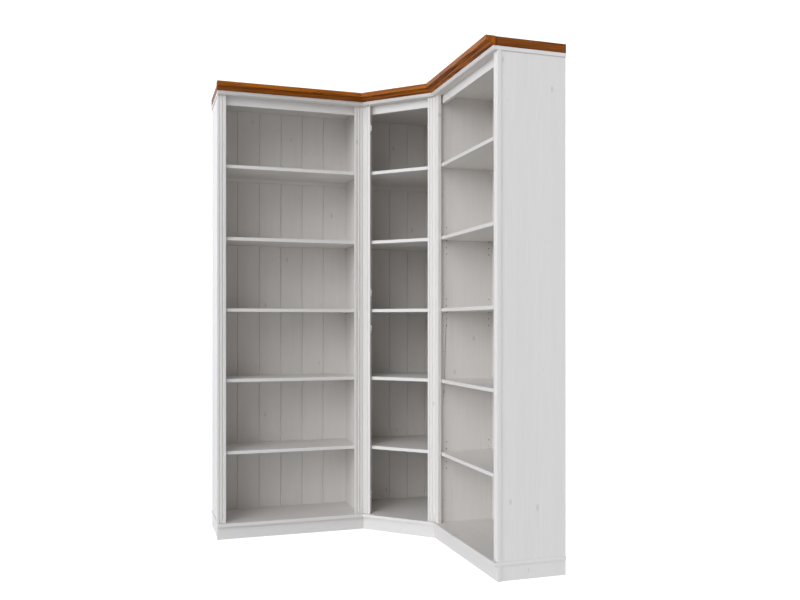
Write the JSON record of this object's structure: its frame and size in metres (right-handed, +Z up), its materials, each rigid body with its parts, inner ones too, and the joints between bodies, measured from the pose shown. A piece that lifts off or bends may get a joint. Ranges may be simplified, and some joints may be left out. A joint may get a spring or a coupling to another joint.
{
  "type": "corner shelf unit",
  "caption": "Tall open corner bookcase in limewashed pine: two straight wings and a diagonal corner unit with adjustable shelves, fluted stiles and a brown stained cornice.",
  "frame": {"origin": "on the floor, at the centre of the square footprint that the unit spans", "axes": "+Z up; the room corner is at +X +Y; the left wing stands against the +Y wall and opens towards -Y, the right wing stands against the +X wall and opens towards -X, and the corner unit opens between them"},
  "size_m": [1.327, 1.327, 2.2],
  "materials": {
    "limewashed_pine": "pine under a thin white limewash, satin, grain showing through",
    "brown_stained_pine": "pine stained mid brown, satin lacquer",
    "plated_steel": "nickel plated, dull"
  },
  "bodies": {
    "root": {"left_outer_side_panel": "limewashed_pine", "left_inner_side_panel": "limewashed_pine", "left_back_boards": "limewashed_pine", "left_top_board": "limewashed_pine", "left_bottom_board": "limewashed_pine", "left_shelf_1": "limewashed_pine", "left_shelf_4": "limewashed_pine", "left_outer_stile": "limewashed_pine", "left_inner_stile": "limewashed_pine", "left_top_rail": "limewashed_pine", "left_plinth_board": "limewashed_pine", "left_base_moulding": "limewashed_pine", "left_necking_moulding": "limewashed_pine", "left_crown_moulding": "brown_stained_pine", "left_cornice_side_board": "brown_stained_pine", "corner_left_side_panel": "limewashed_pine", "corner_right_side_panel": "limewashed_pine", "corner_left_back_boards": "limewashed_pine", "corner_right_back_boards": "limewashed_pine", "corner_top_board": "limewashed_pine", "corner_bottom_board": "limewashed_pine", "corner_shelf_1": "limewashed_pine", "corner_shelf_4": "limewashed_pine", "corner_top_rail": "limewashed_pine", "corner_right_stile": "limewashed_pine", "corner_left_stile": "limewashed_pine", "corner_plinth_board": "limewashed_pine", "corner_base_moulding": "limewashed_pine", "corner_necking_moulding": "limewashed_pine", "corner_crown_moulding": "brown_stained_pine", "right_outer_side_panel": "limewashed_pine", "right_inner_side_panel": "limewashed_pine", "right_back_boards": "limewashed_pine", "right_top_board": "limewashed_pine", "right_bottom_board": "limewashed_pine", "right_shelf_1": "limewashed_pine", "right_shelf_4": "limewashed_pine", "right_outer_stile": "limewashed_pine", "right_inner_stile": "limewashed_pine", "right_top_rail": "limewashed_pine", "right_plinth_board": "limewashed_pine", "right_base_moulding": "limewashed_pine", "right_necking_moulding": "limewashed_pine", "right_crown_moulding": "brown_stained_pine", "right_cornice_side_board": "brown_stained_pine", "hinge_plate_1": "plated_steel", "hinge_plate_2": "plated_steel", "hinge_plate_3": "plated_steel", "hinge_plate_4": "plated_steel"},
    "left_shelf_2": {"left_shelf_2": "limewashed_pine"},
    "left_shelf_3": {"left_shelf_3": "limewashed_pine"},
    "left_shelf_5": {"left_shelf_5": "limewashed_pine"},
    "corner_shelf_2": {"corner_shelf_2": "limewashed_pine"},
    "corner_shelf_3": {"corner_shelf_3": "limewashed_pine"},
    "corner_shelf_5": {"corner_shelf_5": "limewashed_pine"},
    "right_shelf_2": {"right_shelf_2": "limewashed_pine"},
    "right_shelf_3": {"right_shelf_3": "limewashed_pine"},
    "right_shelf_5": {"right_shelf_5": "limewashed_pine"}
  },
  "joints": [
    {"name": "left_shelf_2_lift", "type": "slide", "parent": "root", "child": "left_shelf_2", "axis": [0, 0, 1], "range_m": [0, 0.064]},
    {"name": "left_shelf_3_lift", "type": "slide", "parent": "root", "child": "left_shelf_3", "axis": [0, 0, 1], "range_m": [0, 0.064]},
    {"name": "left_shelf_5_lift", "type": "slide", "parent": "root", "child": "left_shelf_5", "axis": [0, 0, 1], "range_m": [0, 0.064]},
    {"name": "corner_shelf_2_lift", "type": "slide", "parent": "root", "child": "corner_shelf_2", "axis": [0, 0, 1], "range_m": [0, 0.064]},
    {"name": "corner_shelf_3_lift", "type": "slide", "parent": "root", "child": "corner_shelf_3", "axis": [0, 0, 1], "range_m": [0, 0.064]},
    {"name": "corner_shelf_5_lift", "type": "slide", "parent": "root", "child": "corner_shelf_5", "axis": [0, 0, 1], "range_m": [0, 0.064]},
    {"name": "right_shelf_2_lift", "type": "slide", "parent": "root", "child": "right_shelf_2", "axis": [0, 0, 1], "range_m": [0, 0.064]},
    {"name": "right_shelf_3_lift", "type": "slide", "parent": "root", "child": "right_shelf_3", "axis": [0, 0, 1], "range_m": [0, 0.064]},
    {"name": "right_shelf_5_lift", "type": "slide", "parent": "root", "child": "right_shelf_5", "axis": [0, 0, 1], "range_m": [0, 0.064]}
  ]
}
